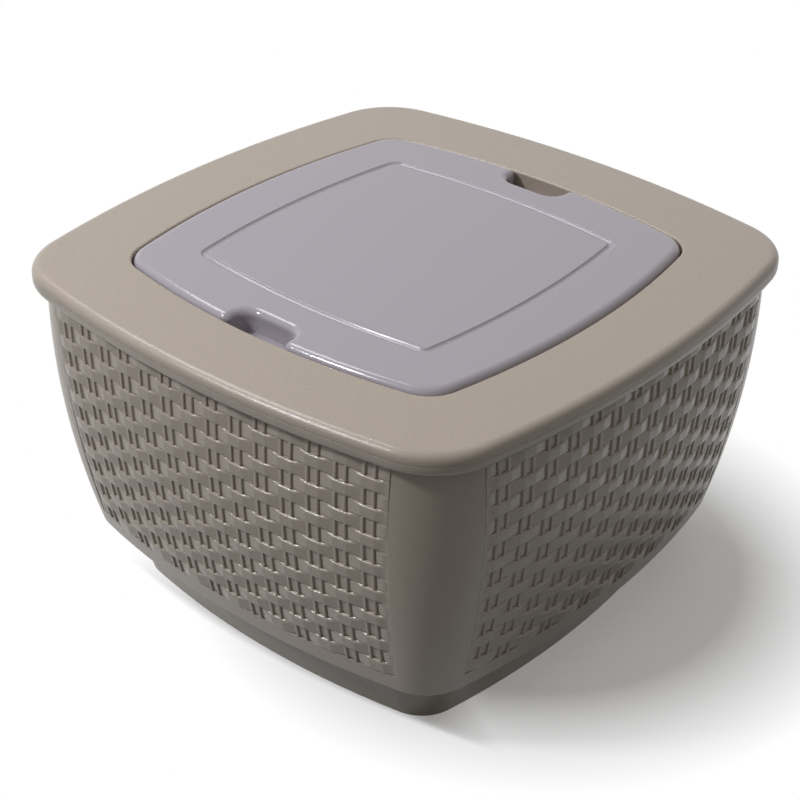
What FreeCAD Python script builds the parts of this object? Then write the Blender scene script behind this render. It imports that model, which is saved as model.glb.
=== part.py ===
import FreeCAD
import Part
import math
import os
from FreeCAD import Vector

# Cooler table: a square patio table whose basket-weave body holds an insulated well under a lift-off lid.
# Millimetres, +Z up. The origin is on the floor under the middle of the table.
# The front is -Y. The lid's finger notches face front and back, and the well drains through its floor.

# Table top and rim
table_width = 610.0
table_height = 365.0
rim_side_radius = 1180.0
rim_corner_radius = 78.0
rim_edge_round = 9.0
rim_under_round = 11.0
rim_seam_drop = 11.0
rim_depth = 25.0
deck_thickness = 5.0

# Basket wall, given at its top, its middle and its bottom
wall_thickness = 5.5
wall_bottom_height = 67.0
wall_top_inset = 14.0
wall_top_side_radius = 1500.0
wall_top_corner_radius = 86.0
wall_middle_inset = 18.0
wall_middle_side_radius = 1150.0
wall_middle_corner_radius = 70.0
wall_bottom_inset = 41.0
wall_bottom_side_radius = 935.0
wall_bottom_corner_radius = 52.0

# Weave panel sunk into each side: strands that arch over every other pair of upright stakes
weave_columns = 14
weave_rows = 16
weave_half_width_top = 212.0
weave_half_width_bottom = 197.0
weave_side_margin = 5.0
weave_bottom_rise = 20.0
weave_sink = 3.2
weave_arch_length = 40.0
weave_arch_rise = 3.5
weave_arch_root = 1.2
weave_strand_height = 12.8

# Foot
foot_top_inset = 67.0
foot_bottom_inset = 84.0
foot_side_radius = 912.0
foot_corner_radius = 42.0
foot_thickness = 4.5
foot_flange_width = 18.0
foot_rest_width = 32.0
foot_recess = 16.0
foot_screw_radius = 2.5
foot_screw_head_radius = 5.0
foot_screw_head_height = 3.0
foot_screw_length = 15.0
foot_boss_radius = 6.0

# Lid opening in the deck, its rebate and the ledge that carries the lid
opening_inset = 83.0
opening_side_radius = 845.0
opening_corner_radius = 38.0
opening_edge_round = 2.5
rebate_depth = 32.0
rebate_thickness = 4.0
ledge_width = 18.0
tongue_width = 3.4
tongue_depth = 4.5

# Ice well
liner_thickness = 3.0
liner_floor_height = 83.0
liner_draft = 15.0
liner_corner_radius = 32.0
liner_floor_round = 24.0

# Lid
lid_gap = 2.0
lid_rise = 3.3
lid_thickness = 4.5
lid_edge_round = 8.0
lid_plug_depth = 13.0
lid_plug_gap = 3.0
lid_pan_thickness = 3.0
groove_half_width = 155.5
groove_side_radius = 920.0
groove_corner_radius = 10.0
groove_width = 8.0
groove_depth = 2.2
notch_length = 70.0
notch_reach = 28.0
notch_depth = 24.0
notch_corner_radius = 16.0
notch_mouth_round = 9.0
seal_width = 9.0
seal_height = 3.0

# Drain through the floor of the well, towards the back
drain_setback = 140.0
drain_bore_radius = 9.0
drain_tube_wall = 3.5
drain_flange_radius = 18.0
drain_flange_height = 3.0
drain_dish_radius = 25.0
drain_dish_depth = 5.0
washer_height = 1.5
locknut_across_flats = 35.0
locknut_height = 7.0
spout_end_length = 2.5
plug_shank_length = 18.0
plug_head_radius = 16.0
plug_head_height = 4.0
plug_grip_width = 7.0
plug_grip_height = 10.0
plug_seal_height = 2.0

# Clearances
fit_gap = 0.3
foam_gap = 0.3

# Places that follow from the sizes above
half_table = table_width / 2
seam_height = table_height - rim_seam_drop
rim_bottom = table_height - rim_depth
deck_underside = table_height - deck_thickness
ledge_top = table_height - rebate_depth
ledge_bottom = ledge_top - rebate_thickness
lid_top_height = table_height + lid_rise
lid_bottom = ledge_top + seal_height + fit_gap
shell_floor_top = wall_bottom_height + wall_thickness
foot_flange_bottom = wall_bottom_height - foot_thickness
foot_floor_top = foot_recess + foot_thickness
foot_screw_tip = foot_flange_bottom + foot_screw_length
tube_radius = drain_bore_radius + drain_tube_wall
dish_floor = liner_floor_height - drain_dish_depth
spout_flange_bottom = dish_floor + washer_height
spout_top = spout_flange_bottom + drain_flange_height
pan_washer_bottom = foot_recess - washer_height
locknut_bottom = pan_washer_bottom - locknut_height
spout_bottom = locknut_bottom - spout_end_length
plug_seal_bottom = spout_top + fit_gap
plug_head_bottom = plug_seal_bottom + plug_seal_height + fit_gap
Z_AXIS = Vector(0, 0, 1)


def section(half_width, side_radius, corner_radius):
    """A bowed square: four outward-bowed sides joined by tangent corner arcs."""
    return (half_width, side_radius, corner_radius)


def inset(shape_section, distance):
    """The same bowed square, moved inwards by a distance all round."""
    return tuple(size - distance for size in shape_section)


rim = section(half_table, rim_side_radius, rim_corner_radius)
wall_top = section(half_table - wall_top_inset, wall_top_side_radius, wall_top_corner_radius)
wall_middle = section(half_table - wall_middle_inset, wall_middle_side_radius, wall_middle_corner_radius)
wall_bottom = section(half_table - wall_bottom_inset, wall_bottom_side_radius, wall_bottom_corner_radius)
foot_bottom = section(half_table - foot_bottom_inset, foot_side_radius, foot_corner_radius)
foot_top = inset(foot_bottom, foot_top_inset - foot_bottom_inset)
opening = section(half_table - opening_inset, opening_side_radius, opening_corner_radius)
throat = inset(opening, ledge_width)
liner_floor = section(throat[0] - liner_draft, throat[1] - liner_draft, liner_corner_radius)
lid_edge = inset(opening, lid_gap)
lid_plug = inset(throat, lid_plug_gap)
groove = section(groove_half_width, groove_side_radius, groove_corner_radius)


def corner_reach(shape_section):
    """How far the corner arc's centre lies from the middle, along X and along Y."""
    half_width, side_radius, corner_radius = shape_section
    bow = side_radius - half_width
    return (math.sqrt(2 * (side_radius - corner_radius) ** 2 - bow ** 2) - bow) / 2


def outline(shape_section, height):
    """The closed wire of a bowed square at a height."""
    half_width, side_radius, corner_radius = shape_section
    bow = side_radius - half_width
    reach = corner_reach(shape_section)
    lean = math.atan2(reach, reach + bow)
    side_end = Vector(side_radius * math.sin(lean), bow - side_radius * math.cos(lean), height)
    side_start = Vector(-side_end.x, side_end.y, height)
    side_middle = Vector(0, -half_width, height)
    diagonal = reach + corner_radius * math.sqrt(0.5)
    corner_middle = Vector(diagonal, -diagonal, height)
    corner_end = Vector(-side_end.y, -side_end.x, height)
    edges = []
    for quarter in range(4):
        for points in ((side_start, side_middle, side_end), (side_end, corner_middle, corner_end)):
            arc = Part.Arc(*points).toShape()
            arc.rotate(Vector(0, 0, 0), Z_AXIS, 90 * quarter)
            edges.append(arc)
    return Part.Wire(edges)


def column(shape_section, low, high):
    """A straight bowed-square column between two heights."""
    return Part.Face(outline(shape_section, low)).extrude(Vector(0, 0, high - low))


def ring(outer, inner, low, high):
    """A straight wall between two bowed squares."""
    return column(outer, low, high).cut(column(inner, low, high))


def loft(levels, ruled=False):
    """A tapered bowed-square solid through (section, height) levels."""
    return Part.makeLoft([outline(level, height) for level, height in levels], True, ruled)


def edges_at(shape, height, reach=half_table):
    """The edges of a shape that lie flat at a height, no further than a reach from the middle."""
    near = 1e-2
    found = []
    for edge in shape.Edges:
        box = edge.BoundBox
        flat = abs(box.ZMin - height) < near and abs(box.ZMax - height) < near
        if flat and max(box.XMax, -box.XMin, box.YMax, -box.YMin) < reach + near:
            found.append(edge)
    return found


def turned(shape, quarters):
    """A copy of a front shape, turned by quarters to another side of the table."""
    return shape.rotated(Vector(0, 0, 0), Z_AXIS, 90 * quarters)


def rod(radius, low, high):
    """A round rod on the drain's upright axis."""
    return Part.makeCylinder(radius, high - low, Vector(0, drain_setback, low))


def pipe(outer_radius, inner_radius, low, high):
    """A round pipe on the drain's upright axis."""
    return rod(outer_radius, low, high).cut(rod(inner_radius, low, high))


# Basket wall

def wall_body(distance):
    """The body's outside, moved inwards by a distance, from the foot to the seam under the deck."""
    middle_height = (wall_bottom_height + rim_bottom) / 2
    tapered = loft([(inset(wall_bottom, distance), wall_bottom_height),
                    (inset(wall_middle, distance), middle_height),
                    (inset(wall_top, distance), rim_bottom)])
    return tapered.fuse(column(inset(wall_top, distance), rim_bottom, seam_height))


def wall_section(height):
    """The wall's section at a height, on the curve through its three given sections."""
    share = (height - wall_bottom_height) / (rim_bottom - wall_bottom_height)
    low = (1 - share) * (1 - 2 * share)
    middle = 4 * share * (1 - share)
    high = share * (2 * share - 1)
    return tuple(a * low + b * middle + c * high for a, b, c in zip(wall_bottom, wall_middle, wall_top))


def ground_point(sideways, height):
    """A point on the sunk ground of the front panel."""
    half_width, side_radius, corner_radius = inset(wall_section(height), weave_sink)
    return Vector(sideways, side_radius - half_width - math.sqrt(side_radius ** 2 - sideways ** 2), height)


def weave_hollow():
    """What is cut from the front wall to sink the ground of its weave panel."""
    low = wall_bottom_height + weave_bottom_rise
    low_half = weave_half_width_bottom + weave_side_margin
    high_half = weave_half_width_top + weave_side_margin
    corners = [Vector(-low_half, -half_table, low), Vector(low_half, -half_table, low),
               Vector(high_half, -half_table, rim_bottom), Vector(-high_half, -half_table, rim_bottom)]
    block = Part.Face(Part.makePolygon(corners + corners[:1])).extrude(Vector(0, half_table, 0))
    return block.cut(wall_body(weave_sink))


def weave_arch(sideways, height, half_length):
    """One strand's arch over a pair of stakes, rooted in the ground of the front panel."""
    half_strand = weave_strand_height / 2
    middle = ground_point(sideways, height)
    across = ground_point(sideways + half_length, height) - ground_point(sideways - half_length, height)
    across.normalize()
    upwards = ground_point(sideways, height + half_strand) - ground_point(sideways, height - half_strand)
    upwards.normalize()
    outwards = across.cross(upwards)
    arch_radius = (half_length ** 2 + weave_arch_rise ** 2) / (2 * weave_arch_rise)
    drop = weave_arch_rise + weave_arch_root
    half_chord = math.sqrt(2 * arch_radius * drop - drop ** 2)
    start = middle - across * half_chord - outwards * weave_arch_root
    crown = middle + outwards * weave_arch_rise
    end = middle + across * half_chord - outwards * weave_arch_root
    profile = Part.Wire([Part.Arc(start, crown, end).toShape(), Part.makeLine(end, start)])
    profile.translate(upwards * -half_strand)
    return Part.Face(profile).extrude(upwards * weave_strand_height)


def weave_panel(first_over):
    """One side's weave: the arches of every strand, over alternate stakes from row to row."""
    bottom = wall_bottom_height + weave_bottom_rise
    row_height = (rim_bottom - bottom) / weave_rows
    arches = []
    for row in range(weave_rows):
        height = rim_bottom - row_height * (row + 0.5)
        share = (height - bottom) / (rim_bottom - bottom)
        half_width = weave_half_width_bottom + (weave_half_width_top - weave_half_width_bottom) * share
        pitch = 2 * half_width / weave_columns
        for column_number in range((row + first_over) % 2, weave_columns, 2):
            sideways = pitch * (column_number + 0.5) - half_width
            half_length = min(weave_arch_length / 2, half_width + weave_side_margin - abs(sideways))
            arches.append(weave_arch(sideways, height, half_length))
    return arches


def foot_screw_places():
    """Screw places round the foot's flange: one on each side and one at each corner."""
    line = inset(foot_top, -foot_flange_width / 2)
    half_width, side_radius, corner_radius = line
    diagonal = corner_reach(line) + corner_radius * math.sqrt(0.5)
    places = []
    for quarter in range(4):
        turn = FreeCAD.Rotation(Z_AXIS, 90 * quarter)
        for place in (Vector(0, -half_width, 0), Vector(diagonal, -diagonal, 0)):
            places.append(turn.multVec(place))
    return places


def at_screws(radius, low, high):
    """An upright rod at each screw place."""
    return [Part.makeCylinder(radius, high - low, place + Vector(0, 0, low)) for place in foot_screw_places()]


def outer_shell():
    """The body: basket walls, the lower half of the rim and a floor web over the foot."""
    bead = column(rim, rim_bottom, seam_height)
    bead = bead.makeFillet(rim_under_round, edges_at(bead, rim_bottom))
    hollow = weave_hollow()
    shell = wall_body(0).cut([turned(hollow, quarter) for quarter in range(4)])
    for quarter in range(4):
        shell = shell.fuse([turned(arch, quarter) for arch in weave_panel(quarter % 2)])
    shell = shell.fuse(bead)
    floor_web = column(rim, wall_bottom_height, shell_floor_top)
    shell = shell.cut(wall_body(wall_thickness).cut(floor_web))
    foot_mouth = inset(foot_top, foot_thickness)
    shell = shell.cut(column(foot_mouth, wall_bottom_height, shell_floor_top))
    shell = shell.fuse(at_screws(foot_boss_radius, shell_floor_top, foot_screw_tip))
    shell = shell.cut(at_screws(foot_screw_radius, wall_bottom_height, foot_screw_tip))
    return shell.cut(tongue(fit_gap))


def tongue(clearance):
    """The ridge under the deck that locates it in the top of the rim, or the slot for it."""
    middle = inset(rim, (rim[0] - wall_top[0] + wall_thickness) / 2)
    half = tongue_width / 2 + clearance
    low = seam_height - tongue_depth - clearance
    return ring(inset(middle, -half), inset(middle, half), low, deck_underside)


# Table top

def top_deck():
    """The table-top ring, with its rounded rim, the lid's rebate and the ledge under the lid."""
    blank = column(rim, seam_height, table_height)
    blank = blank.makeFillet(rim_edge_round, edges_at(blank, table_height))
    deck = blank.cut(column(inset(rim, deck_thickness), seam_height, deck_underside))
    rebate_outside = inset(opening, -rebate_thickness)
    deck = deck.fuse(column(rebate_outside, ledge_bottom, deck_underside))
    deck = deck.fuse(tongue(0))
    deck = deck.cut(column(throat, ledge_bottom, table_height))
    deck = deck.cut(column(opening, ledge_top, table_height))
    return deck.makeFillet(opening_edge_round, edges_at(deck, table_height, opening[0]))


# Ice well

def liner_outside(grow):
    """The solid that the liner fills, made larger all round by a gap."""
    wall = liner_thickness + grow
    low = liner_floor_height - wall
    bevel = (liner_floor_round + wall) * (2 - math.sqrt(2))
    share = bevel / (ledge_bottom - low)
    bevel_top = tuple(a + (b - a) * share for a, b in zip(liner_floor, throat))
    body = loft([(inset(liner_floor, bevel - wall), low), (inset(bevel_top, -wall), low + bevel),
                 (inset(throat, -wall), ledge_bottom)], ruled=True)
    flange = column(inset(opening, -rebate_thickness - grow), ledge_bottom - wall, ledge_bottom)
    dish = rod(drain_dish_radius + wall, dish_floor - wall, liner_floor_height)
    return body.fuse(flange).fuse(dish)


def well_liner():
    """The tapered ice well that hangs from the deck's ledge, with a dish for the drain in its floor."""
    well = loft([(liner_floor, liner_floor_height), (throat, ledge_bottom)], ruled=True)
    well = well.makeFillet(liner_floor_round, edges_at(well, liner_floor_height))
    liner = liner_outside(0).cut(well)
    liner = liner.cut(rod(drain_dish_radius, dish_floor, liner_floor_height))
    return liner.cut(rod(tube_radius + fit_gap, dish_floor - liner_thickness, dish_floor))


def wall_foam():
    """The insulation that fills the space between the liner, the shell, the deck and the foot."""
    foam = wall_body(wall_thickness + foam_gap)
    foam = foam.cut(column(rim, wall_bottom_height, shell_floor_top + foam_gap))
    foam = foam.cut(column(rim, seam_height - tongue_depth - foam_gap, seam_height))
    foot_mouth = inset(foot_top, foot_thickness + foam_gap)
    foot_floor = inset(foot_bottom, foot_thickness + foam_gap)
    foot_levels = [(foot_floor, foot_floor_top + foam_gap), (foot_mouth, wall_bottom_height)]
    foam = foam.fuse(loft(foot_levels, ruled=True))
    foam = foam.fuse(column(foot_mouth, wall_bottom_height, shell_floor_top + foam_gap))
    foam = foam.cut(at_screws(foot_boss_radius + foam_gap, shell_floor_top, foot_screw_tip + foam_gap))
    foam = foam.cut(liner_outside(foam_gap))
    rebate = inset(opening, -rebate_thickness - foam_gap)
    foam = foam.cut(column(rebate, ledge_bottom - liner_thickness, seam_height))
    return foam.cut(rod(tube_radius + foam_gap, foot_recess, dish_floor))


# Foot

def foot_pan():
    """The inclined foot: a closed pan with an outward flange under the shell and a recessed underside."""
    pan = loft([(foot_bottom, 0), (foot_top, foot_flange_bottom)], ruled=True)
    pan = pan.fuse(column(inset(foot_top, -foot_flange_width), foot_flange_bottom, wall_bottom_height))
    hollow = loft([(inset(foot_bottom, foot_thickness), foot_floor_top),
                   (inset(foot_top, foot_thickness), wall_bottom_height)], ruled=True)
    pan = pan.cut(hollow)
    pan = pan.cut(column(inset(foot_bottom, foot_rest_width), 0, foot_recess))
    pan = pan.cut(at_screws(foot_screw_radius + fit_gap, foot_flange_bottom, wall_bottom_height))
    return pan.cut(rod(tube_radius + fit_gap, foot_recess, foot_floor_top))


def foot_screws():
    """Pan-head screws that hold the foot's flange to the shell from below."""
    heads = at_screws(foot_screw_head_radius, foot_flange_bottom - foot_screw_head_height, foot_flange_bottom)
    shanks = at_screws(foot_screw_radius, foot_flange_bottom, foot_screw_tip)
    return Part.makeCompound([head.fuse(shank).removeSplitter() for head, shank in zip(heads, shanks)])


# Lid

def notch_block(grow, low, high):
    """The front finger notch as a block with rounded inner corners, made larger by a wall."""
    half_length = notch_length / 2 + grow
    lid_front = -lid_edge[0]
    reach = lid_front + notch_reach + grow
    block = Part.makeBox(2 * half_length, notch_reach + grow + lid_gap, high - low,
                         Vector(-half_length, lid_front - lid_gap, low))
    inner_edges = [edge for edge in block.Edges
                   if abs(edge.BoundBox.YMin - reach) < 1e-4 and edge.BoundBox.ZLength > high - low - 1e-4]
    return block.makeFillet(notch_corner_radius + grow, inner_edges)


def both_ways(shape):
    """A shape at the front, and the same shape turned to the back."""
    return [shape, turned(shape, 2)]


def groove_channel():
    """The round-bottomed channel of the lid's groove, as a rod swept round its square."""
    radius = (groove_width ** 2 / 4 + groove_depth ** 2) / (2 * groove_depth)
    height = lid_top_height - groove_depth + radius
    path = outline(groove, height)
    profile = Part.Wire(Part.makeCircle(radius, Vector(0, -groove_half_width, height), Vector(1, 0, 0)))
    return path.makePipeShell([profile], True, False)


def lid_top():
    """The lid's upper shell: bullnose edge, shallow square groove and a finger notch at front and back."""
    blank = column(lid_edge, lid_bottom, lid_top_height)
    notch_floor = lid_top_height - notch_depth
    blank = blank.cut(both_ways(notch_block(0, notch_floor, lid_top_height)))
    mouths = [edge for edge in blank.Edges
              if edge.BoundBox.ZLength > notch_depth - 1e-4 and edge.BoundBox.ZMin > notch_floor - 1e-4
              and abs(edge.CenterOfMass.y) > lid_edge[0] - notch_reach / 2]
    blank = blank.makeFillet(notch_mouth_round, mouths)
    blank = blank.makeFillet(lid_edge_round, edges_at(blank, lid_top_height))
    blank = blank.cut(groove_channel())
    hollow = column(inset(lid_edge, lid_thickness), lid_bottom, lid_top_height - lid_thickness)
    pockets = both_ways(notch_block(lid_thickness, notch_floor - lid_thickness, lid_top_height))
    return blank.cut(hollow.cut(pockets))


def lid_pan():
    """The lid's underside: a flange inside the lid's edge and a shallow tray that steps into the well."""
    flange_top = lid_bottom + lid_pan_thickness
    tray_bottom = ledge_top - lid_plug_depth
    pan = column(inset(lid_edge, lid_thickness + fit_gap), lid_bottom, flange_top)
    pan = pan.fuse(column(lid_plug, tray_bottom, lid_bottom))
    return pan.cut(column(inset(lid_plug, lid_pan_thickness), tray_bottom + lid_pan_thickness, flange_top))


def lid_foam():
    """The insulation between the lid's two shells."""
    flange_top = lid_bottom + lid_pan_thickness
    tray_floor = ledge_top - lid_plug_depth + lid_pan_thickness
    top = lid_top_height - lid_thickness - foam_gap
    notch_bottom = lid_top_height - notch_depth - lid_thickness - foam_gap
    foam = column(inset(lid_edge, lid_thickness + foam_gap), flange_top + foam_gap, top)
    tray = inset(lid_plug, lid_pan_thickness + foam_gap)
    foam = foam.fuse(column(tray, tray_floor + foam_gap, flange_top + foam_gap))
    return foam.cut(both_ways(notch_block(lid_thickness + foam_gap, notch_bottom, top)))


def lid_seal():
    """The flat gasket under the lid's flange, resting on the ledge."""
    seal_middle = inset(opening, ledge_width / 2)
    return ring(inset(seal_middle, -seal_width / 2), inset(seal_middle, seal_width / 2),
                lid_bottom - seal_height, lid_bottom)


# Drain

def drain_spout():
    """The flanged tube that leads from the well's floor through the foam and the foot."""
    spout = rod(drain_flange_radius, spout_flange_bottom, spout_top)
    spout = spout.fuse(rod(tube_radius, spout_bottom, spout_top))
    return spout.cut(rod(drain_bore_radius, spout_bottom, spout_top)).removeSplitter()


def drain_liner_washer():
    """The seal between the spout's flange and the floor of its dish."""
    return pipe(drain_flange_radius, tube_radius + fit_gap, dish_floor, spout_flange_bottom)


def drain_pan_washer():
    """The washer between the locknut and the underside of the foot."""
    return pipe(locknut_across_flats / 2, tube_radius + fit_gap, pan_washer_bottom, foot_recess)


def drain_locknut():
    """The hexagon nut that clamps the spout against the underside of the foot."""
    corner_radius = locknut_across_flats / math.sqrt(3)
    corners = []
    for number in range(7):
        angle = math.radians(60 * number)
        sideways = corner_radius * math.cos(angle)
        corners.append(Vector(sideways, drain_setback + corner_radius * math.sin(angle), locknut_bottom))
    nut = Part.Face(Part.makePolygon(corners)).extrude(Z_AXIS * locknut_height)
    return nut.cut(rod(tube_radius + fit_gap, locknut_bottom, pan_washer_bottom))


def drain_plug():
    """The screw plug: a shank in the spout, a round head and a bar to grip from inside the well."""
    head_top = plug_head_bottom + plug_head_height
    plug = rod(plug_head_radius, plug_head_bottom, head_top)
    plug = plug.fuse(rod(drain_bore_radius - fit_gap, plug_head_bottom - plug_shank_length, plug_head_bottom))
    grip = Part.makeBox(2 * plug_head_radius, plug_grip_width, plug_grip_height,
                        Vector(-plug_head_radius, drain_setback - plug_grip_width / 2, head_top))
    grip = grip.common(rod(plug_head_radius, head_top, head_top + plug_grip_height))
    return plug.fuse(grip).removeSplitter()


def plug_seal():
    """The flat ring between the plug's head and the spout's flange."""
    return pipe(plug_head_radius, drain_bore_radius, plug_seal_bottom, plug_seal_bottom + plug_seal_height)


pieces = (outer_shell, top_deck, foot_pan, foot_screws, well_liner, wall_foam,
          lid_top, lid_pan, lid_foam, lid_seal,
          drain_spout, drain_liner_washer, drain_pan_washer, drain_locknut, drain_plug, plug_seal)

os.makedirs("parts", exist_ok=True)
for piece in pieces:
    piece().exportStep("parts/" + piece.__name__ + ".step")
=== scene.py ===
import math

import bmesh
import bpy
from bpy.props import FloatProperty, FloatVectorProperty, IntProperty, PointerProperty
from mathutils import Matrix, Vector


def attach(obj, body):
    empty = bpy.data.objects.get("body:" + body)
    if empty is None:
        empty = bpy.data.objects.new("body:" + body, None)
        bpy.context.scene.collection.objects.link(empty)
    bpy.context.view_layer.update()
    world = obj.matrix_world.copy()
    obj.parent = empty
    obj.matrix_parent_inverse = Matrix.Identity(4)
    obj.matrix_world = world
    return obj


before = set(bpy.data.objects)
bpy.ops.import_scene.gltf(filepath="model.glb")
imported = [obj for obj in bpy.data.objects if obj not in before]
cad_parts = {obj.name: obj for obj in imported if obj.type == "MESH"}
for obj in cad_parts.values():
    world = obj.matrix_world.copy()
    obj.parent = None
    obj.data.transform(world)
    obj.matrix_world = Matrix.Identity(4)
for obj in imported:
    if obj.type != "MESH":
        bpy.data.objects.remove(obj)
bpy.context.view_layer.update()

bl_info = {
    "name": "Cooler table",
    "version": (1, 0, 0),
    "blender": (4, 5, 0),
    "location": "3D View > Sidebar > Cooler Table",
    "description": "Basket weave, finishes and stage for a patio table with a cooler well",
    "category": "Object",
}

SIDE_NAMES = ("front", "right", "back", "left")
QUARTER_TURN = math.radians(90)
WHITE = (1.0, 1.0, 1.0, 1.0)

# Range in which most values of a noise texture lie
NOISE_RANGE = (0.3, 0.7)
# Scale of a moulding's relief as a share of its speckle's scale
RELIEF_SHARE = 0.8
# Scale of the clouds in a moulding's gloss, and how far its roughness swings either way
CLOUD_SCALE = 9.0
CLOUD_SWING = 0.01
PLASTIC_IOR = 1.5
SOFT_EDGE_SAMPLES = 6

# Grid lines on a rounded edge of the weave, as shares of the edge's width
STAKE_EDGE_LINES = (1.0, 0.4)
STRAND_EDGE_LINES = (1.0, 0.7, 0.4)
# Parts into which the grid cuts the span from a stake to the side of its column
GAP_PARTS = 4
# Depth of a strand's rounded edge behind the stakes, as a share of its depth over them
BEHIND_DROP_SHARE = 0.2
# How soon a strand reaches its full narrowing on its way to the stakes
NARROWING_STEEPNESS = 2.0
# Half of the span in metres over which the wall's slope is taken
SLOPE_STEP = 0.0005
# Folds of the weave that are sharper than this are shaded as edges
SHARP_FOLD = math.radians(38)


# Settings

def size(label, text, default):
    """A length in metres that a user may change."""
    return FloatProperty(name=label, description=text, default=default, unit="LENGTH", precision=4)


def spot(label, text, default):
    """A place in metres that a user may change."""
    return FloatVectorProperty(name=label, description=text, default=default, size=3,
                               subtype="TRANSLATION", unit="LENGTH")


def angle(label, text, degrees):
    """An angle that a user may change."""
    return FloatProperty(name=label, description=text, default=math.radians(degrees), subtype="ANGLE")


def optics(label, text, default):
    """A size of the camera in millimetres that a user may change."""
    return FloatProperty(name=label, description=text, default=default, unit="CAMERA")


def power(label, text, default):
    """A lamp's power in watts that a user may change."""
    return FloatProperty(name=label, description=text, default=default, min=0, unit="POWER")


def amount(label, text, default):
    """A plain number that a user may change."""
    return FloatProperty(name=label, description=text, default=default, min=0, precision=3)


def count(label, text, default):
    """A number of like pieces that a user may change."""
    return IntProperty(name=label, description=text, default=default, min=2, max=40)


def colour(label, text, default):
    """A colour that a user may change, as the numbers of a colour picker."""
    return FloatVectorProperty(name=label, description=text, default=default, size=3, min=0, max=1,
                               subtype="COLOR_GAMMA")


def tint(label, text, default):
    """A tint of light that a user may change, as light values."""
    return FloatVectorProperty(name=label, description=text, default=default, size=3, min=0, max=1,
                               subtype="COLOR")


def group(kind, label):
    """A group of settings, described by its own docstring."""
    return PointerProperty(type=kind, name=label, description=kind.__doc__)


class WallSettings(bpy.types.PropertyGroup):
    """The bowed wall that carries the weave, as the packed shell has it"""
    bottom_height: size("Bottom height", "Height of the wall's lower edge", 0.067)
    top_height: size("Top height", "Height of the rim's underside", 0.340)
    top_half_width: size("Top half width", "Middle of a side to the table's middle, at the rim", 0.291)
    top_side_radius: size("Top side radius", "Bow of a side at the rim", 1.500)
    middle_half_width: size("Middle half width", "Middle of a side to the table's middle, half way up",
                            0.287)
    middle_side_radius: size("Middle side radius", "Bow of a side half way up", 1.150)
    bottom_half_width: size("Bottom half width", "Middle of a side to the table's middle, at the lower edge",
                            0.264)
    bottom_side_radius: size("Bottom side radius", "Bow of a side at the lower edge", 0.935)


class WeaveSettings(bpy.types.PropertyGroup):
    """The basket weave on each side"""
    columns: count("Columns", "Pairs of stakes on each side", 14)
    rows: count("Rows", "Strands on each side", 16)
    top_height: size("Top height", "Upper edge of the highest strand", 0.3398)
    bottom_height: size("Bottom height", "Lower edge of the lowest strand", 0.0870)
    top_half_width: size("Top half width", "Half of the width of all columns at the top", 0.212)
    bottom_half_width: size("Bottom half width", "Half of the width of all columns at the bottom", 0.197)
    side_margin: size("Side margin", "Length of the strands' ends beside the outer columns", 0.0052)
    over_level: size("Over level", "Height of a strand over the wall where it passes over the stakes",
                     0.0014)
    under_level: size("Under level", "Height of a strand over the wall where it passes behind the stakes",
                      -0.0013)
    over_length: size("Over length", "Length of a strand's level part at the stakes", 0.0140)
    narrowing: size("Narrowing", "How far a strand's edges draw in over the stakes and spread behind them",
                    0.0009)
    stake_spacing: size("Stake spacing", "Distance between the two stakes of a pair", 0.0107)
    stake_width: size("Stake width", "Width of one stake", 0.0034)
    stake_level: size("Stake level", "Height of the stakes over the wall", 0.0006)
    strand_round: size("Strand edge", "Width of a strand's rounded edge", 0.0022)
    strand_drop: size("Strand edge drop", "Depth of a strand's rounded edge", 0.0018)
    stake_round: size("Stake edge", "Width of a stake's rounded edge", 0.0009)
    stake_drop: size("Stake edge drop", "Depth of a stake's rounded edge", 0.0006)
    fold_width: size("Fold width", "Width of the step at the edge of a strand or a stake", 0.0003)
    side_fade: size("Side fade", "Length over which the strands level out beside the corner posts", 0.0090)
    side_level: size("Side level", "Height of the strands over the wall at the corner posts", -0.0003)
    skirt_depth: size("Skirt depth", "How far the border of the weave turns in towards the wall", 0.002)


class FinishSettings(bpy.types.PropertyGroup):
    """Colours of the finishes and softness of the moulded edges"""
    body: colour("Body", "Taupe plastic of the table top, the walls and the foot", (0.682, 0.633, 0.578))
    lid: colour("Lid", "Grey plastic of the lid", (0.662, 0.633, 0.664))
    liner: colour("Liner", "Off-white plastic inside the well", (0.865, 0.865, 0.850))
    foam: colour("Foam", "Insulation", (0.890, 0.840, 0.700))
    gasket: colour("Gasket", "Rubber of the seals", (0.130, 0.130, 0.132))
    steel: colour("Steel", "Zinc of the screws", (0.520, 0.520, 0.525))
    drain: colour("Drain", "Plastic of the drain and its plug", (0.480, 0.460, 0.440))
    edge_round: size("Edge round", "Soft edge of the mouldings", 0.0016)
    weave_edge_round: size("Weave edge round", "Soft edge of the strands and the stakes", 0.0005)


class CameraSettings(bpy.types.PropertyGroup):
    """Place and lens of the camera"""
    azimuth: angle("Azimuth", "Camera's turn round the table from the front", 40.7)
    elevation: angle("Elevation", "Camera's angle above the horizon", 31.6)
    roll: angle("Roll", "Camera's tilt about its own line of sight", 0.7)
    distance: size("Distance", "Camera to the point it looks at", 1.9932)
    aim_height: size("Aim height", "Height of the point that the camera looks at", 0.200)
    slide_right: size("Slide right", "Camera's shift to its right", -0.0073)
    slide_up: size("Slide up", "Camera's shift upwards", -0.0068)
    lens: optics("Lens", "Focal length of the camera", 86.5)
    sensor_width: optics("Sensor width", "Width of the camera's sensor", 36.0)


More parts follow.
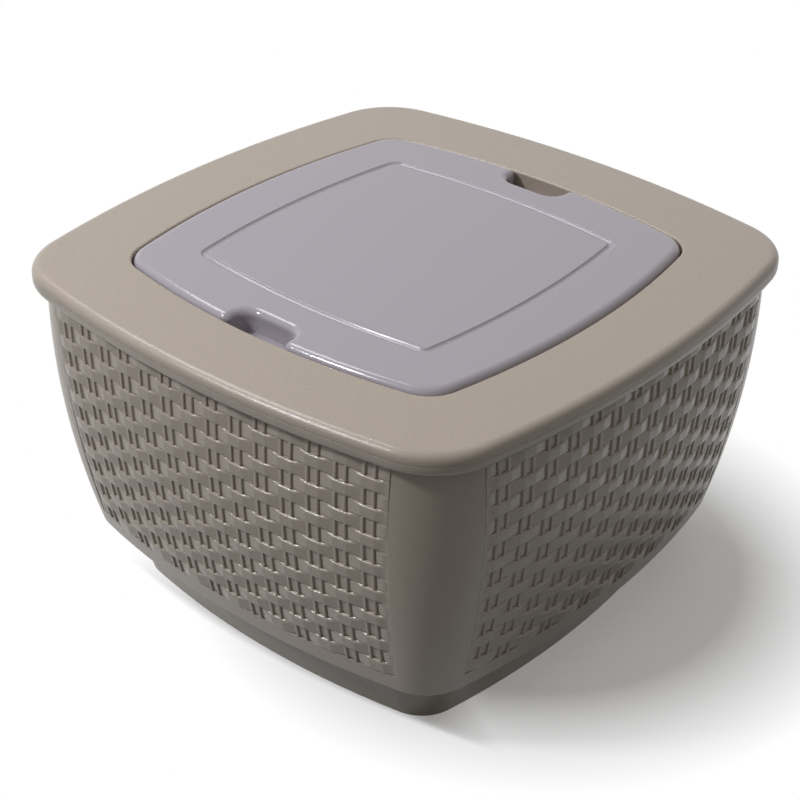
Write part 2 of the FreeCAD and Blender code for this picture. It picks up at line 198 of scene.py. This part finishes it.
class LightSettings(bpy.types.PropertyGroup):
    """The two lamps and the soft light all round"""
    aim: spot("Aim", "Point that the lamps face", (0.0, 0.0, 0.25))
    key_place: spot("Key place", "Place of the large lamp", (-2.7, 0.2, 4.0))
    key_width: size("Key width", "Width of the large lamp", 1.6)
    key_power: power("Key power", "Power of the large lamp", 64.0)
    key_tint: tint("Key tint", "Tint of the large lamp", (0.97, 0.98, 1.0))
    front_place: spot("Front place", "Place of the small lamp", (-1.10, -1.85, 2.15))
    front_width: size("Front width", "Width of the small lamp", 0.35)
    front_power: power("Front power", "Power of the small lamp", 38.0)
    front_tint: tint("Front tint", "Tint of the small lamp", (0.92, 0.95, 1.0))
    horizon_strength: amount("Horizon strength", "Strength of the soft light from the horizon", 0.065)
    horizon_tint: tint("Horizon tint", "Tint of the soft light from the horizon", (1.0, 0.92, 0.83))
    overhead_strength: amount("Overhead strength", "Strength of the soft light from overhead", 0.52)


class FloorSettings(bpy.types.PropertyGroup):
    """The studio floor and where it keeps the table's shadow"""
    half_width: size("Half width", "Half of the floor's width", 10.0)
    pale: colour("Pale", "Tone of the floor as it is seen", (0.955, 0.955, 0.955))
    bounce: colour("Bounce", "Tone of the floor in the light that it throws back up", (0.228, 0.211, 0.194))
    shadow_white: amount("Shadow white", "Share of plain white where the floor keeps a shadow", 0.2)
    shadow_centre: spot("Shadow centre", "Middle of the kept shadow", (0.11, 0.08, 0.0))
    shadow_start: size("Shadow start", "Distance from its middle where the shadow starts to fade", 0.225)
    shadow_end: size("Shadow end", "Distance from its middle where the shadow is gone", 0.37)
    foot_half_width: size("Foot half width", "Middle of the foot's front edge to the table's middle", 0.221)
    foot_side_radius: size("Foot side radius", "Bow of the foot's front edge", 0.912)
    contact_width: size("Contact width", "Width of the contact shadow along the foot's front edge", 0.014)
    contact_centre: spot("Contact centre", "Middle of the contact shadow's length", (0.06, -0.20, 0.0))
    contact_start: size("Contact start", "Distance from its middle where the contact shadow starts to fade",
                        0.14)
    contact_end: size("Contact end", "Distance from its middle where the contact shadow is gone", 0.28)


class CoolerTableSettings(bpy.types.PropertyGroup):
    """All settings of the table"""
    wall: group(WallSettings, "Wall")
    weave: group(WeaveSettings, "Weave")
    finish: group(FinishSettings, "Finish")
    camera: group(CameraSettings, "Camera")
    light: group(LightSettings, "Light")
    floor: group(FloorSettings, "Floor")


def settings():
    """The settings that the scene holds."""
    return bpy.context.scene.cooler_table


# Finishes

def linear(picked):
    """A picked colour as the light values that a shader takes."""
    return tuple(c / 12.92 if c <= 0.04045 else ((c + 0.055) / 1.055) ** 2.4 for c in picked) + (1.0,)


def shade(picked, factor):
    """A picked colour made lighter or darker, as light values."""
    return linear([min(1.0, c * factor) for c in picked])


class Nodes:
    """The node tree of a material or a world, with short calls to add and join nodes."""

    def __init__(self, owner, shader, space):
        owner.use_nodes = True
        self.owner = owner
        self.tree = owner.node_tree
        self.shader = self.tree.nodes[shader]
        self.place = self.add("ShaderNodeTexCoord").outputs[space]

    def add(self, kind, **inputs):
        """A new node with some of its inputs set."""
        node = self.tree.nodes.new(kind)
        for name, value in inputs.items():
            node.inputs[name.replace("_", " ")].default_value = value
        return node

    def join(self, source, target):
        """Links one node's output to another node's input."""
        self.tree.links.new(source, target)

    def noise(self, scale, detail=2.0, roughness=0.5):
        """A noise over the object's own space."""
        node = self.add("ShaderNodeTexNoise", Scale=scale, Detail=detail, Roughness=roughness)
        self.join(self.place, node.inputs["Vector"])
        return node.outputs["Fac"]

    def span(self, source, low, high, to_low=0.0, to_high=1.0):
        """A value moved from one range to another, and kept inside it."""
        node = self.add("ShaderNodeMapRange", From_Min=low, From_Max=high, To_Min=to_low, To_Max=to_high)
        self.join(source, node.inputs["Value"])
        return node.outputs["Result"]

    def distance(self, point):
        """Distance from a point."""
        node = self.add("ShaderNodeVectorMath")
        node.operation = "DISTANCE"
        self.join(self.place, node.inputs[0])
        node.inputs[1].default_value = point
        return node.outputs["Value"]

    def combine(self, operation, first, second):
        """Two values made into one."""
        node = self.add("ShaderNodeMath")
        node.operation = operation
        self.join(first, node.inputs[0])
        self.join(second, node.inputs[1])
        return node.outputs["Value"]

    def blend(self, factor, first, second):
        """A colour between two others."""
        node = self.add("ShaderNodeMix")
        node.data_type = "RGBA"
        colours = [socket for socket in node.inputs if socket.type == "RGBA"]
        colours[0].default_value = first
        colours[1].default_value = second
        self.join(factor, node.inputs["Factor"])
        return [socket for socket in node.outputs if socket.type == "RGBA"][0]

    def tone(self, factor, picked, darkest, lightest):
        """Gives the shader a picked colour that varies between two shades."""
        self.join(self.blend(factor, shade(picked, darkest), shade(picked, lightest)),
                  self.shader.inputs["Base Color"])

    def gloss(self, noise, smoothest, roughest):
        """Gives the shader a roughness that varies with a noise."""
        self.join(self.span(noise, *NOISE_RANGE, smoothest, roughest), self.shader.inputs["Roughness"])

    def bump(self, height, depth, strength, edge_round=0.0):
        """Gives the shader a relief, and edges that look rounded where they have a radius."""
        node = self.add("ShaderNodeBump", Distance=depth, Strength=strength)
        self.join(height, node.inputs["Height"])
        self.join(node.outputs["Normal"], self.shader.inputs["Normal"])
        if edge_round:
            softened = self.add("ShaderNodeBevel", Radius=edge_round)
            softened.samples = SOFT_EDGE_SAMPLES
            self.join(softened.outputs["Normal"], node.inputs["Normal"])

    def mix_surface(self, share, first, second, output):
        """Shows the first shader, and the second over it by a share."""
        mixed = self.add("ShaderNodeMixShader")
        self.join(share, mixed.inputs["Fac"])
        self.join(first, mixed.inputs[1])
        self.join(second, mixed.inputs[2])
        self.join(mixed.outputs["Shader"], self.tree.nodes[output].inputs["Surface"])


def material_nodes(name):
    """The nodes of a new material."""
    return Nodes(bpy.data.materials.new(name), "Principled BSDF", "Object")


def moulded_plastic(name, picked, edge_round, grain, contrast, roughness, relief):
    """Moulded plastic: a fine speckle in its tone and its relief, and a slightly uneven gloss."""
    nodes = material_nodes(name)
    speckle = nodes.noise(grain, detail=3.0, roughness=0.65)
    nodes.tone(nodes.span(speckle, *NOISE_RANGE), picked, 1 - contrast, 1 + contrast)
    nodes.gloss(nodes.noise(CLOUD_SCALE), roughness - CLOUD_SWING, roughness + CLOUD_SWING)
    nodes.shader.inputs["IOR"].default_value = PLASTIC_IOR
    nodes.bump(nodes.noise(grain * RELIEF_SHARE), depth=0.0004, strength=relief, edge_round=edge_round)
    return nodes.owner


def liner_plastic(name, finish):
    """The off-white plastic of the well and of the lid's underside."""
    return moulded_plastic(name, finish.liner, finish.edge_round,
                           grain=900.0, contrast=0.01, roughness=0.3, relief=0.08)


def rigid_foam(name, picked):
    """Rigid foam: closed cells and a matt skin."""
    nodes = material_nodes(name)
    cells = nodes.add("ShaderNodeTexVoronoi", Scale=420.0)
    nodes.join(nodes.place, cells.inputs["Vector"])
    from_cell = cells.outputs["Distance"]
    nodes.tone(nodes.span(from_cell, low=0.0, high=0.8), picked, darkest=0.9, lightest=1.04)
    nodes.shader.inputs["Roughness"].default_value = 0.9
    nodes.bump(from_cell, depth=0.0006, strength=0.5)
    return nodes.owner


def soft_rubber(name, picked):
    """Rubber: dull, with a dusty bloom."""
    nodes = material_nodes(name)
    bloom = nodes.noise(scale=160.0, detail=4.0)
    nodes.tone(nodes.span(bloom, low=0.35, high=0.75), picked, darkest=0.85, lightest=1.25)
    nodes.gloss(bloom, smoothest=0.6, roughest=0.8)
    nodes.bump(bloom, depth=0.0002, strength=0.3)
    return nodes.owner


def zinc_steel(name, picked):
    """Zinc-plated steel with a dull, cloudy gloss."""
    nodes = material_nodes(name)
    cloud = nodes.noise(scale=700.0, detail=3.0)
    nodes.tone(nodes.span(cloud, *NOISE_RANGE), picked, darkest=0.9, lightest=1.05)
    nodes.gloss(cloud, smoothest=0.45, roughest=0.6)
    nodes.shader.inputs["Metallic"].default_value = 1.0
    return nodes.owner


def dress(material, *node_names):
    """Gives a material to nodes of the packed model."""
    for name in node_names:
        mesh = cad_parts[name].data
        mesh.materials.clear()
        mesh.materials.append(material)


# Weave

def wall_point(wall, sideways, height):
    """A point on the outside of the front wall, whose sizes follow a curve through three heights."""
    share = (height - wall.bottom_height) / (wall.top_height - wall.bottom_height)
    low = (1 - share) * (1 - 2 * share)
    middle = 4 * share * (1 - share)
    high = share * (2 * share - 1)
    half_width = low * wall.bottom_half_width + middle * wall.middle_half_width + high * wall.top_half_width
    radius = low * wall.bottom_side_radius + middle * wall.middle_side_radius + high * wall.top_side_radius
    return Vector((sideways, radius - half_width - math.sqrt(radius ** 2 - sideways ** 2), height))


def raised_point(wall, sideways, height, rise):
    """A point that stands off the front wall by a rise."""
    step = SLOPE_STEP
    across = wall_point(wall, sideways + step, height) - wall_point(wall, sideways - step, height)
    upwards = wall_point(wall, sideways, height + step) - wall_point(wall, sideways, height - step)
    return wall_point(wall, sideways, height) + across.cross(upwards).normalized() * rise


def fade(distance, length):
    """A share that falls smoothly from 1 to 0 over a length."""
    return max(0.0, 1 - distance / length) ** 2


def between(behind, over, swing):
    """The value at a swing from -1, behind the stakes, to 1, over them."""
    return (over * (1 + swing) + behind * (1 - swing)) / 2


def mirrored(places):
    """Places on one side of a middle, with the middle and the same places on its other side."""
    return [-place for place in reversed(places)] + [0.0] + places


def column_lines(weave, pitch):
    """Places of grid lines across one column, as shares of its width from its middle."""
    half_fold = weave.fold_width / 2 / pitch
    inner = (weave.stake_spacing - weave.stake_width) / 2 / pitch
    outer = (weave.stake_spacing + weave.stake_width) / 2 / pitch
    edge = weave.stake_round / pitch
    right = [inner / 2, inner - half_fold, inner + half_fold]
    right += [inner + edge * share for share in reversed(STAKE_EDGE_LINES)]
    right += [outer - edge * share for share in STAKE_EDGE_LINES]
    right += [outer - half_fold, outer + half_fold]
    right += [outer + (0.5 - outer) * part / GAP_PARTS for part in range(1, GAP_PARTS)]
    return mirrored(right)


def row_lines(weave, row_height):
    """Places of grid lines across one strand, as shares of its height from its middle."""
    half_fold = weave.fold_width / 2 / row_height
    edge = weave.strand_round / row_height
    return mirrored([0.25] + [0.5 - edge * share for share in STRAND_EDGE_LINES] + [0.5 - half_fold])


def places_across(weave, pitch):
    """Places of all grid lines across a side, in columns."""
    margin = weave.side_margin / pitch
    places = [-margin, -margin / 2, 0.0]
    for number in range(weave.columns):
        places += [number + 0.5 + share for share in column_lines(weave, pitch)]
        places.append(number + 1.0)
    return places + [weave.columns + margin / 2, weave.columns + margin]


def places_down(weave, row_height):
    """Places of all grid lines down a side, in rows."""
    return [number + 0.5 + share for number in range(weave.rows) for share in row_lines(weave, row_height)]


def strand_place(weave, parity, pitch, row_height, across, down):
    """Height over the wall and shift up the wall, at a place in columns across and rows down."""
    column = min(max(math.floor(across), 0), weave.columns - 1)
    row = min(int(down), weave.rows - 1)
    over = (column + row + parity) % 2 == 0
    from_middle = abs(across - column - 0.5) * pitch
    swing = min(1.0, (pitch / 2 - from_middle) / (pitch / 2 - weave.over_length / 2))
    swing = swing if over else -swing
    from_edge = row_height * (0.5 - abs(down - row - 0.5))
    drop = weave.strand_drop * between(BEHIND_DROP_SHARE, 1.0, swing)
    rise = between(weave.under_level, weave.over_level, swing) - drop * fade(from_edge, weave.strand_round)
    inside_stake = weave.stake_width / 2 - abs(from_middle - weave.stake_spacing / 2)
    if not over and inside_stake > 0:
        rise = max(rise, weave.stake_level - weave.stake_drop * fade(inside_stake, weave.stake_round))
    from_side = min(across, weave.columns - across) * pitch + weave.side_margin
    rise += (weave.side_level - rise) * fade(from_side, weave.side_fade)
    at_border = 0.5 > down or down > weave.rows - 0.5
    narrowing = 0.0 if at_border else weave.narrowing * max(-1.0, min(1.0, NARROWING_STEEPNESS * swing))
    return rise, narrowing * (2 * (down - row) - 1)


def weave_sheet(wall, weave, parity):
    """One side's weave as a sheet over the front wall, with grid lines along edges of strands and stakes."""
    row_height = (weave.top_height - weave.bottom_height) / weave.rows
    pitch = (weave.top_half_width + weave.bottom_half_width) / weave.columns
    across_places = places_across(weave, pitch)
    down_places = places_down(weave, row_height)
    last_across = len(across_places) - 1
    last_down = len(down_places) - 1
    sheet = bmesh.new()
    bmesh.ops.create_grid(sheet, x_segments=last_across, y_segments=last_down, size=1.0)
    for vertex in sheet.verts:
        across = across_places[round((vertex.co.x + 1) / 2 * last_across)]
        down = down_places[round((1 - vertex.co.y) / 2 * last_down)]
        rise, shift = strand_place(weave, parity, pitch, row_height, across, down)
        height = weave.top_height - down * row_height + shift
        share = (height - weave.bottom_height) / (weave.top_height - weave.bottom_height)
        half_width = weave.bottom_half_width + (weave.top_half_width - weave.bottom_half_width) * share
        vertex.co = raised_point(wall, (2 * across / weave.columns - 1) * half_width, height, rise)
    border = [edge for edge in sheet.edges if edge.is_boundary]
    skirt = bmesh.ops.extrude_edge_only(sheet, edges=border)
    for vertex in (item for item in skirt["geom"] if isinstance(item, bmesh.types.BMVert)):
        vertex.co.y += weave.skirt_depth
    bmesh.ops.recalc_face_normals(sheet, faces=sheet.faces)
    return sheet


def place_sheet(sheet, name, turn, material):
    """A copy of a sheet as an object, turned to its side of the table."""
    copy = sheet.copy()
    bmesh.ops.rotate(copy, verts=copy.verts, cent=(0, 0, 0), matrix=Matrix.Rotation(turn, 3, "Z"))
    mesh = bpy.data.meshes.new(name)
    copy.to_mesh(mesh)
    copy.free()
    mesh.shade_smooth()
    mesh.set_sharp_from_angle(angle=SHARP_FOLD)
    mesh.materials.append(material)
    piece = bpy.data.objects.new(name, mesh)
    bpy.context.scene.collection.objects.link(piece)
    return piece


# Pieces

class COOLER_OT_weave(bpy.types.Operator):
    """Makes the basket weave on the four sides"""
    bl_idname = "cooler_table.weave"
    bl_label = "Basket weave"

    def execute(self, context):
        choice = settings()
        finish = choice.finish
        material = moulded_plastic("weave_plastic", finish.body, finish.weave_edge_round,
                                   grain=900.0, contrast=0.045, roughness=0.24, relief=0.3)
        sheets = [weave_sheet(choice.wall, choice.weave, parity) for parity in range(2)]
        for number, side in enumerate(SIDE_NAMES):
            piece = place_sheet(sheets[number % 2], "weave_" + side, number * QUARTER_TURN, material)
            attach(piece, "table")
        for sheet in sheets:
            sheet.free()
        return {"FINISHED"}


class COOLER_OT_body(bpy.types.Operator):
    """Finishes the table top, the walls and the foot"""
    bl_idname = "cooler_table.body"
    bl_label = "Table top, walls and foot"

    def execute(self, context):
        finish = settings().finish
        taupe = moulded_plastic("taupe_plastic", finish.body, finish.edge_round,
                                grain=900.0, contrast=0.045, roughness=0.28, relief=0.5)
        dress(taupe, "outer_shell", "top_deck", "foot_pan")
        return {"FINISHED"}


class COOLER_OT_lid(bpy.types.Operator):
    """Finishes the lid, its underside, its seal and its insulation"""
    bl_idname = "cooler_table.lid"
    bl_label = "Lid"

    def execute(self, context):
        finish = settings().finish
        grey = moulded_plastic("lid_plastic", finish.lid, finish.edge_round,
                               grain=1100.0, contrast=0.012, roughness=0.15, relief=0.05)
        dress(grey, "lid_top")
        dress(liner_plastic("lid_pan_plastic", finish), "lid_pan")
        dress(soft_rubber("lid_gasket", finish.gasket), "lid_seal")
        dress(rigid_foam("lid_insulation", finish.foam), "lid_foam")
        return {"FINISHED"}


class COOLER_OT_well(bpy.types.Operator):
    """Finishes the ice well and its insulation"""
    bl_idname = "cooler_table.well"
    bl_label = "Ice well"

    def execute(self, context):
        finish = settings().finish
        dress(liner_plastic("well_plastic", finish), "well_liner")
        dress(rigid_foam("wall_insulation", finish.foam), "wall_foam")
        return {"FINISHED"}


class COOLER_OT_drain(bpy.types.Operator):
    """Finishes the drain, its plug and the foot's screws"""
    bl_idname = "cooler_table.drain"
    bl_label = "Drain and screws"

    def execute(self, context):
        finish = settings().finish
        fitting = moulded_plastic("drain_plastic", finish.drain, finish.edge_round,
                                  grain=1200.0, contrast=0.02, roughness=0.42, relief=0.15)
        dress(fitting, "drain_spout", "drain_locknut", "drain_plug")
        rubber = soft_rubber("drain_rubber", finish.gasket)
        dress(rubber, "drain_liner_washer", "drain_pan_washer", "plug_seal")
        dress(zinc_steel("screw_zinc", finish.steel), "foot_screws")
        return {"FINISHED"}


# Stage

def background_rays(nodes):
    """A socket that is 1 for rays that show the background: those of the camera, of gloss and of glass."""
    rays = nodes.add("ShaderNodeLightPath").outputs
    seen_or_glossy = nodes.combine("MAXIMUM", rays["Is Camera Ray"], rays["Is Glossy Ray"])
    return nodes.combine("MAXIMUM", seen_or_glossy, rays["Is Transmission Ray"])


def studio_floor(floor):
    """A pale floor that reads as white paper, keeps the table's shadow and throws little light back up."""
    nodes = material_nodes("studio_floor")
    nodes.tree.nodes.remove(nodes.shader)
    shown = background_rays(nodes)
    lit = nodes.add("ShaderNodeBsdfDiffuse")
    nodes.join(nodes.blend(shown, linear(floor.bounce), linear(floor.pale)), lit.inputs["Color"])
    paper = nodes.add("ShaderNodeEmission", Color=WHITE, Strength=1.0)
    to_white = (floor.shadow_white, 1.0)
    from_shadow = nodes.distance(floor.shadow_centre)
    past_shadow = nodes.span(from_shadow, floor.shadow_start, floor.shadow_end, *to_white)
    from_bow_centre = nodes.distance((0.0, floor.foot_side_radius - floor.foot_half_width, 0.0))
    contact_radius = floor.foot_side_radius + floor.contact_width
    past_edge = nodes.span(from_bow_centre, floor.foot_side_radius, contact_radius, *to_white)
    from_contact = nodes.distance(floor.contact_centre)
    past_ends = nodes.span(from_contact, floor.contact_start, floor.contact_end, *to_white)
    past_contact = nodes.combine("MAXIMUM", past_edge, past_ends)
    white = nodes.combine("MINIMUM", past_shadow, past_contact)
    share = nodes.combine("MULTIPLY", shown, white)
    nodes.mix_surface(share, lit.outputs["BSDF"], paper.outputs["Emission"], "Material Output")
    return nodes.owner


def floor_piece(floor):
    """The floor as an object."""
    grid = bmesh.new()
    bmesh.ops.create_grid(grid, x_segments=2, y_segments=2, size=floor.half_width)
    mesh = bpy.data.meshes.new("floor")
    grid.to_mesh(mesh)
    grid.free()
    mesh.materials.append(studio_floor(floor))
    piece = bpy.data.objects.new("floor", mesh)
    bpy.context.scene.collection.objects.link(piece)
    return piece


def area_light(name, place, aim, width, watts, shine):
    """A soft square lamp that faces a point."""
    lamp = bpy.data.lights.new(name, "AREA")
    lamp.shape = "SQUARE"
    lamp.size = width
    lamp.energy = watts
    lamp.color = shine
    item = bpy.data.objects.new(name, lamp)
    item.location = place
    item.rotation_euler = (Vector(aim) - Vector(place)).to_track_quat("-Z", "Y").to_euler()
    bpy.context.scene.collection.objects.link(item)


def studio_world(light):
    """Soft light, warm and weak at the horizon, white and strong overhead, in a surround seen as white."""
    nodes = Nodes(bpy.data.worlds.new("studio_world"), "Background", "Generated")
    direction = nodes.add("ShaderNodeSeparateXYZ")
    nodes.join(nodes.place, direction.inputs["Vector"])
    upwards = direction.outputs["Z"]
    steepness = nodes.combine("MULTIPLY", upwards, upwards)
    strength = nodes.span(steepness, 0.0, 1.0, light.horizon_strength, light.overhead_strength)
    nodes.join(strength, nodes.shader.inputs["Strength"])
    nodes.join(nodes.blend(steepness, (*light.horizon_tint, 1.0), WHITE), nodes.shader.inputs["Color"])
    surround = nodes.add("ShaderNodeBackground", Color=WHITE, Strength=1.0)
    nodes.mix_surface(background_rays(nodes), nodes.shader.outputs["Background"],
                      surround.outputs["Background"], "World Output")
    bpy.context.scene.world = nodes.owner


def camera_matrix(view):
    """The camera's place and turn."""
    level = math.cos(view.elevation)
    back = Vector((math.sin(view.azimuth) * level, -math.cos(view.azimuth) * level,
                   math.sin(view.elevation)))
    right = Vector((math.cos(view.azimuth), math.sin(view.azimuth), 0))
    up = back.cross(right)
    rolled_right = right * math.cos(view.roll) + up * math.sin(view.roll)
    rolled_up = up * math.cos(view.roll) - right * math.sin(view.roll)
    aim = Vector((0, 0, view.aim_height))
    place = aim + back * view.distance + rolled_right * view.slide_right + rolled_up * view.slide_up
    turn = Matrix((rolled_right, rolled_up, back)).transposed().to_4x4()
    return Matrix.Translation(place) @ turn


def place_camera(view):
    """The camera, set as the one that the scene is seen through."""
    camera = bpy.data.objects.new("camera", bpy.data.cameras.new("camera"))
    camera.data.lens = view.lens
    camera.data.sensor_width = view.sensor_width
    camera.matrix_world = camera_matrix(view)
    bpy.context.scene.collection.objects.link(camera)
    bpy.context.scene.camera = camera


class COOLER_OT_stage(bpy.types.Operator):
    """Makes the floor, the lights and the camera"""
    bl_idname = "cooler_table.stage"
    bl_label = "Stage"

    def execute(self, context):
        choice = settings()
        light = choice.light
        floor = floor_piece(choice.floor)
        area_light("key_lamp", light.key_place, light.aim, light.key_width, light.key_power, light.key_tint)
        area_light("front_lamp", light.front_place, light.aim, light.front_width, light.front_power,
                   light.front_tint)
        studio_world(light)
        place_camera(choice.camera)
        context.scene.view_settings.view_transform = "Standard"
        return {"FINISHED"}


class COOLER_PT_panel(bpy.types.Panel):
    """Lists what makes the table"""
    bl_label = "Cooler Table"
    bl_idname = "COOLER_PT_panel"
    bl_space_type = "VIEW_3D"
    bl_region_type = "UI"
    bl_category = "Cooler Table"

    def draw(self, context):
        for operator in OPERATORS:
            self.layout.operator(operator.bl_idname)


GROUPS = (WallSettings, WeaveSettings, FinishSettings, CameraSettings, LightSettings, FloorSettings,
          CoolerTableSettings)
OPERATORS = (COOLER_OT_body, COOLER_OT_weave, COOLER_OT_lid, COOLER_OT_well, COOLER_OT_drain,
             COOLER_OT_stage)
CLASSES = GROUPS + OPERATORS + (COOLER_PT_panel,)


def register():
    for item in CLASSES:
        bpy.utils.register_class(item)
    bpy.types.Scene.cooler_table = group(CoolerTableSettings, "Cooler table")


def unregister():
    del bpy.types.Scene.cooler_table
    for item in reversed(CLASSES):
        bpy.utils.unregister_class(item)


def main():
    register()
    bpy.ops.cooler_table.body()
    bpy.ops.cooler_table.weave()
    bpy.ops.cooler_table.lid()
    bpy.ops.cooler_table.well()
    bpy.ops.cooler_table.drain()
    bpy.ops.cooler_table.stage()


if __name__ == "__main__":
    main()
